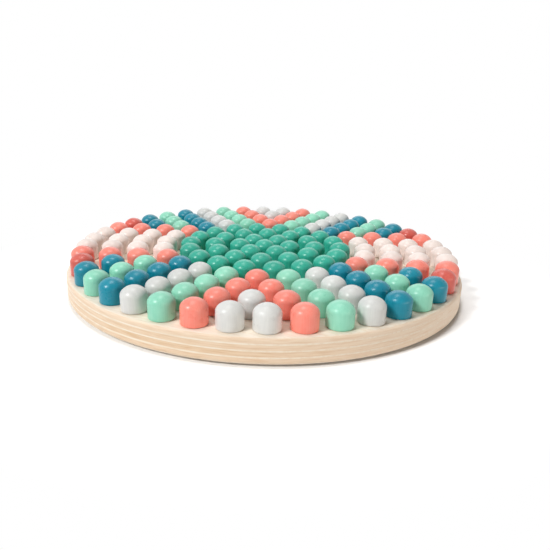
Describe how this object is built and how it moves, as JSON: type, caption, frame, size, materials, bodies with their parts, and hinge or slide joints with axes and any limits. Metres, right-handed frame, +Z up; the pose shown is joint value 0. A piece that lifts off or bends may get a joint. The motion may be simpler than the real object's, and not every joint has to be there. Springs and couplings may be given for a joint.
{
  "type": "mushroom peg mosaic",
  "caption": "Round plywood peg board with rings of painted wooden mushroom pegs, whose domed caps seat on the board and whose stems lift out of blind holes.",
  "frame": {"origin": "middle of the board's flat underside", "axes": "+Z up through the centre peg, +X to the right and -Y towards the viewer of the picture"},
  "size_m": [0.303, 0.303, 0.0328],
  "materials": {
    "birch_plywood": "sanded, clear satin",
    "paint_green": "painted satin",
    "paint_blush": "painted satin",
    "paint_coral": "painted satin",
    "paint_brick": "painted satin",
    "paint_blue": "painted satin",
    "paint_mint": "painted satin",
    "paint_white": "painted satin"
  },
  "bodies": {
    "board": {"board": "birch_plywood"},
    "green_peg_center": {"green_peg_center": "paint_green"},
    "green_pegs_sector_1": {"green_pegs_sector_1": "paint_green"},
    "green_pegs_sector_2": {"green_pegs_sector_2": "paint_green"},
    "green_pegs_sector_3": {"green_pegs_sector_3": "paint_green"},
    "green_pegs_sector_4": {"green_pegs_sector_4": "paint_green"},
    "green_pegs_sector_5": {"green_pegs_sector_5": "paint_green"},
    "green_pegs_sector_6": {"green_pegs_sector_6": "paint_green"},
    "blush_pegs_inner_right": {"blush_pegs_inner_right": "paint_blush"},
    "blush_pegs_inner_left": {"blush_pegs_inner_left": "paint_blush"},
    "blush_pegs_outer_right": {"blush_pegs_outer_right": "paint_blush"},
    "blush_pegs_outer_left": {"blush_pegs_outer_left": "paint_blush"},
    "coral_pegs_spoke_front_right": {"coral_pegs_spoke_front_right": "paint_coral"},
    "coral_pegs_spoke_front_left": {"coral_pegs_spoke_front_left": "paint_coral"},
    "coral_pegs_spoke_back_right": {"coral_pegs_spoke_back_right": "paint_coral"},
    "coral_pegs_spoke_back_left": {"coral_pegs_spoke_back_left": "paint_coral"},
    "brick_peg_front_right": {"brick_peg_front_right": "paint_brick"},
    "brick_peg_front_left": {"brick_peg_front_left": "paint_brick"},
    "brick_peg_back_right": {"brick_peg_back_right": "paint_brick"},
    "brick_peg_back_left": {"brick_peg_back_left": "paint_brick"},
    "blue_peg_inner_front_right": {"blue_peg_inner_front_right": "paint_blue"},
    "blue_peg_inner_front_left": {"blue_peg_inner_front_left": "paint_blue"},
    "blue_peg_inner_back_right": {"blue_peg_inner_back_right": "paint_blue"},
    "blue_peg_inner_back_left": {"blue_peg_inner_back_left": "paint_blue"},
    "blue_peg_outer_front_right": {"blue_peg_outer_front_right": "paint_blue"},
    "blue_peg_outer_front_left": {"blue_peg_outer_front_left": "paint_blue"},
    "blue_peg_outer_back_right": {"blue_peg_outer_back_right": "paint_blue"},
    "blue_peg_outer_back_left": {"blue_peg_outer_back_left": "paint_blue"},
    "mint_pegs_pair_front_right": {"mint_pegs_pair_front_right": "paint_mint"},
    "mint_pegs_pair_front_left": {"mint_pegs_pair_front_left": "paint_mint"},
    "mint_pegs_pair_back_right": {"mint_pegs_pair_back_right": "paint_mint"},
    "mint_pegs_pair_back_left": {"mint_pegs_pair_back_left": "paint_mint"},
    "mint_peg_outer_front_right": {"mint_peg_outer_front_right": "paint_mint"},
    "mint_peg_outer_front_left": {"mint_peg_outer_front_left": "paint_mint"},
    "mint_peg_outer_back_right": {"mint_peg_outer_back_right": "paint_mint"},
    "mint_peg_outer_back_left": {"mint_peg_outer_back_left": "paint_mint"},
    "blue_pegs_spoke_front_right": {"blue_pegs_spoke_front_right": "paint_blue"},
    "blue_pegs_spoke_front_left": {"blue_pegs_spoke_front_left": "paint_blue"},
    "blue_pegs_spoke_back_right": {"blue_pegs_spoke_back_right": "paint_blue"},
    "blue_pegs_spoke_back_left": {"blue_pegs_spoke_back_left": "paint_blue"},
    "white_pegs_spoke_front_right": {"white_pegs_spoke_front_right": "paint_white"},
    "white_pegs_spoke_front_left": {"white_pegs_spoke_front_left": "paint_white"},
    "white_pegs_spoke_back_right": {"white_pegs_spoke_back_right": "paint_white"},
    "white_pegs_spoke_back_left": {"white_pegs_spoke_back_left": "paint_white"},
    "mint_pegs_spoke_front_right": {"mint_pegs_spoke_front_right": "paint_mint"},
    "mint_pegs_spoke_front_left": {"mint_pegs_spoke_front_left": "paint_mint"},
    "mint_pegs_spoke_back_right": {"mint_pegs_spoke_back_right": "paint_mint"},
    "mint_pegs_spoke_back_left": {"mint_pegs_spoke_back_left": "paint_mint"},
    "coral_pegs_arm_front_right": {"coral_pegs_arm_front_right": "paint_coral"},
    "coral_pegs_arm_front_left": {"coral_pegs_arm_front_left": "paint_coral"},
    "coral_pegs_arm_back_right": {"coral_pegs_arm_back_right": "paint_coral"},
    "coral_pegs_arm_back_left": {"coral_pegs_arm_back_left": "paint_coral"},
    "white_peg_outer_front_right": {"white_peg_outer_front_right": "paint_white"},
    "white_peg_outer_front_left": {"white_peg_outer_front_left": "paint_white"},
    "white_peg_outer_back_right": {"white_peg_outer_back_right": "paint_white"},
    "white_peg_outer_back_left": {"white_peg_outer_back_left": "paint_white"},
    "coral_peg_tip_front": {"coral_peg_tip_front": "paint_coral"},
    "coral_peg_tip_back": {"coral_peg_tip_back": "paint_coral"},
    "white_peg_inner_front": {"white_peg_inner_front": "paint_white"},
    "white_peg_inner_back": {"white_peg_inner_back": "paint_white"}
  },
  "joints": [
    {"name": "green_peg_center_lift", "type": "slide", "parent": "board", "child": "green_peg_center", "axis": [0, 0, 1], "range_m": [0, 0.03]},
    {"name": "green_pegs_sector_1_lift", "type": "slide", "parent": "board", "child": "green_pegs_sector_1", "axis": [0, 0, 1], "range_m": [0, 0.03]},
    {"name": "green_pegs_sector_2_lift", "type": "slide", "parent": "board", "child": "green_pegs_sector_2", "axis": [0, 0, 1], "range_m": [0, 0.03]},
    {"name": "green_pegs_sector_3_lift", "type": "slide", "parent": "board", "child": "green_pegs_sector_3", "axis": [0, 0, 1], "range_m": [0, 0.03]},
    {"name": "green_pegs_sector_4_lift", "type": "slide", "parent": "board", "child": "green_pegs_sector_4", "axis": [0, 0, 1], "range_m": [0, 0.03]},
    {"name": "green_pegs_sector_5_lift", "type": "slide", "parent": "board", "child": "green_pegs_sector_5", "axis": [0, 0, 1], "range_m": [0, 0.03]},
    {"name": "green_pegs_sector_6_lift", "type": "slide", "parent": "board", "child": "green_pegs_sector_6", "axis": [0, 0, 1], "range_m": [0, 0.03]},
    {"name": "blush_pegs_inner_right_lift", "type": "slide", "parent": "board", "child": "blush_pegs_inner_right", "axis": [0, 0, 1], "range_m": [0, 0.03]},
    {"name": "blush_pegs_inner_left_lift", "type": "slide", "parent": "board", "child": "blush_pegs_inner_left", "axis": [0, 0, 1], "range_m": [0, 0.03]},
    {"name": "blush_pegs_outer_right_lift", "type": "slide", "parent": "board", "child": "blush_pegs_outer_right", "axis": [0, 0, 1], "range_m": [0, 0.03]},
    {"name": "blush_pegs_outer_left_lift", "type": "slide", "parent": "board", "child": "blush_pegs_outer_left", "axis": [0, 0, 1], "range_m": [0, 0.03]},
    {"name": "coral_pegs_spoke_front_right_lift", "type": "slide", "parent": "board", "child": "coral_pegs_spoke_front_right", "axis": [0, 0, 1], "range_m": [0, 0.03]},
    {"name": "coral_pegs_spoke_front_left_lift", "type": "slide", "parent": "board", "child": "coral_pegs_spoke_front_left", "axis": [0, 0, 1], "range_m": [0, 0.03]},
    {"name": "coral_pegs_spoke_back_right_lift", "type": "slide", "parent": "board", "child": "coral_pegs_spoke_back_right", "axis": [0, 0, 1], "range_m": [0, 0.03]},
    {"name": "coral_pegs_spoke_back_left_lift", "type": "slide", "parent": "board", "child": "coral_pegs_spoke_back_left", "axis": [0, 0, 1], "range_m": [0, 0.03]},
    {"name": "brick_peg_front_right_lift", "type": "slide", "parent": "board", "child": "brick_peg_front_right", "axis": [0, 0, 1], "range_m": [0, 0.03]},
    {"name": "brick_peg_front_left_lift", "type": "slide", "parent": "board", "child": "brick_peg_front_left", "axis": [0, 0, 1], "range_m": [0, 0.03]},
    {"name": "brick_peg_back_right_lift", "type": "slide", "parent": "board", "child": "brick_peg_back_right", "axis": [0, 0, 1], "range_m": [0, 0.03]},
    {"name": "brick_peg_back_left_lift", "type": "slide", "parent": "board", "child": "brick_peg_back_left", "axis": [0, 0, 1], "range_m": [0, 0.03]},
    {"name": "blue_peg_inner_front_right_lift", "type": "slide", "parent": "board", "child": "blue_peg_inner_front_right", "axis": [0, 0, 1], "range_m": [0, 0.03]},
    {"name": "blue_peg_inner_front_left_lift", "type": "slide", "parent": "board", "child": "blue_peg_inner_front_left", "axis": [0, 0, 1], "range_m": [0, 0.03]},
    {"name": "blue_peg_inner_back_right_lift", "type": "slide", "parent": "board", "child": "blue_peg_inner_back_right", "axis": [0, 0, 1], "range_m": [0, 0.03]},
    {"name": "blue_peg_inner_back_left_lift", "type": "slide", "parent": "board", "child": "blue_peg_inner_back_left", "axis": [0, 0, 1], "range_m": [0, 0.03]},
    {"name": "blue_peg_outer_front_right_lift", "type": "slide", "parent": "board", "child": "blue_peg_outer_front_right", "axis": [0, 0, 1], "range_m": [0, 0.03]},
    {"name": "blue_peg_outer_front_left_lift", "type": "slide", "parent": "board", "child": "blue_peg_outer_front_left", "axis": [0, 0, 1], "range_m": [0, 0.03]},
    {"name": "blue_peg_outer_back_right_lift", "type": "slide", "parent": "board", "child": "blue_peg_outer_back_right", "axis": [0, 0, 1], "range_m": [0, 0.03]},
    {"name": "blue_peg_outer_back_left_lift", "type": "slide", "parent": "board", "child": "blue_peg_outer_back_left", "axis": [0, 0, 1], "range_m": [0, 0.03]},
    {"name": "mint_pegs_pair_front_right_lift", "type": "slide", "parent": "board", "child": "mint_pegs_pair_front_right", "axis": [0, 0, 1], "range_m": [0, 0.03]},
    {"name": "mint_pegs_pair_front_left_lift", "type": "slide", "parent": "board", "child": "mint_pegs_pair_front_left", "axis": [0, 0, 1], "range_m": [0, 0.03]},
    {"name": "mint_pegs_pair_back_right_lift", "type": "slide", "parent": "board", "child": "mint_pegs_pair_back_right", "axis": [0, 0, 1], "range_m": [0, 0.03]},
    {"name": "mint_pegs_pair_back_left_lift", "type": "slide", "parent": "board", "child": "mint_pegs_pair_back_left", "axis": [0, 0, 1], "range_m": [0, 0.03]},
    {"name": "mint_peg_outer_front_right_lift", "type": "slide", "parent": "board", "child": "mint_peg_outer_front_right", "axis": [0, 0, 1], "range_m": [0, 0.03]},
    {"name": "mint_peg_outer_front_left_lift", "type": "slide", "parent": "board", "child": "mint_peg_outer_front_left", "axis": [0, 0, 1], "range_m": [0, 0.03]},
    {"name": "mint_peg_outer_back_right_lift", "type": "slide", "parent": "board", "child": "mint_peg_outer_back_right", "axis": [0, 0, 1], "range_m": [0, 0.03]},
    {"name": "mint_peg_outer_back_left_lift", "type": "slide", "parent": "board", "child": "mint_peg_outer_back_left", "axis": [0, 0, 1], "range_m": [0, 0.03]},
    {"name": "blue_pegs_spoke_front_right_lift", "type": "slide", "parent": "board", "child": "blue_pegs_spoke_front_right", "axis": [0, 0, 1], "range_m": [0, 0.03]},
    {"name": "blue_pegs_spoke_front_left_lift", "type": "slide", "parent": "board", "child": "blue_pegs_spoke_front_left", "axis": [0, 0, 1], "range_m": [0, 0.03]},
    {"name": "blue_pegs_spoke_back_right_lift", "type": "slide", "parent": "board", "child": "blue_pegs_spoke_back_right", "axis": [0, 0, 1], "range_m": [0, 0.03]},
    {"name": "blue_pegs_spoke_back_left_lift", "type": "slide", "parent": "board", "child": "blue_pegs_spoke_back_left", "axis": [0, 0, 1], "range_m": [0, 0.03]},
    {"name": "white_pegs_spoke_front_right_lift", "type": "slide", "parent": "board", "child": "white_pegs_spoke_front_right", "axis": [0, 0, 1], "range_m": [0, 0.03]},
    {"name": "white_pegs_spoke_front_left_lift", "type": "slide", "parent": "board", "child": "white_pegs_spoke_front_left", "axis": [0, 0, 1], "range_m": [0, 0.03]},
    {"name": "white_pegs_spoke_back_right_lift", "type": "slide", "parent": "board", "child": "white_pegs_spoke_back_right", "axis": [0, 0, 1], "range_m": [0, 0.03]},
    {"name": "white_pegs_spoke_back_left_lift", "type": "slide", "parent": "board", "child": "white_pegs_spoke_back_left", "axis": [0, 0, 1], "range_m": [0, 0.03]},
    {"name": "mint_pegs_spoke_front_right_lift", "type": "slide", "parent": "board", "child": "mint_pegs_spoke_front_right", "axis": [0, 0, 1], "range_m": [0, 0.03]},
    {"name": "mint_pegs_spoke_front_left_lift", "type": "slide", "parent": "board", "child": "mint_pegs_spoke_front_left", "axis": [0, 0, 1], "range_m": [0, 0.03]},
    {"name": "mint_pegs_spoke_back_right_lift", "type": "slide", "parent": "board", "child": "mint_pegs_spoke_back_right", "axis": [0, 0, 1], "range_m": [0, 0.03]},
    {"name": "mint_pegs_spoke_back_left_lift", "type": "slide", "parent": "board", "child": "mint_pegs_spoke_back_left", "axis": [0, 0, 1], "range_m": [0, 0.03]},
    {"name": "coral_pegs_arm_front_right_lift", "type": "slide", "parent": "board", "child": "coral_pegs_arm_front_right", "axis": [0, 0, 1], "range_m": [0, 0.03]},
    {"name": "coral_pegs_arm_front_left_lift", "type": "slide", "parent": "board", "child": "coral_pegs_arm_front_left", "axis": [0, 0, 1], "range_m": [0, 0.03]},
    {"name": "coral_pegs_arm_back_right_lift", "type": "slide", "parent": "board", "child": "coral_pegs_arm_back_right", "axis": [0, 0, 1], "range_m": [0, 0.03]},
    {"name": "coral_pegs_arm_back_left_lift", "type": "slide", "parent": "board", "child": "coral_pegs_arm_back_left", "axis": [0, 0, 1], "range_m": [0, 0.03]},
    {"name": "white_peg_outer_front_right_lift", "type": "slide", "parent": "board", "child": "white_peg_outer_front_right", "axis": [0, 0, 1], "range_m": [0, 0.03]},
    {"name": "white_peg_outer_front_left_lift", "type": "slide", "parent": "board", "child": "white_peg_outer_front_left", "axis": [0, 0, 1], "range_m": [0, 0.03]},
    {"name": "white_peg_outer_back_right_lift", "type": "slide", "parent": "board", "child": "white_peg_outer_back_right", "axis": [0, 0, 1], "range_m": [0, 0.03]},
    {"name": "white_peg_outer_back_left_lift", "type": "slide", "parent": "board", "child": "white_peg_outer_back_left", "axis": [0, 0, 1], "range_m": [0, 0.03]},
    {"name": "coral_peg_tip_front_lift", "type": "slide", "parent": "board", "child": "coral_peg_tip_front", "axis": [0, 0, 1], "range_m": [0, 0.03]},
    {"name": "coral_peg_tip_back_lift", "type": "slide", "parent": "board", "child": "coral_peg_tip_back", "axis": [0, 0, 1], "range_m": [0, 0.03]},
    {"name": "white_peg_inner_front_lift", "type": "slide", "parent": "board", "child": "white_peg_inner_front", "axis": [0, 0, 1], "range_m": [0, 0.03]},
    {"name": "white_peg_inner_back_lift", "type": "slide", "parent": "board", "child": "white_peg_inner_back", "axis": [0, 0, 1], "range_m": [0, 0.03]}
  ]
}
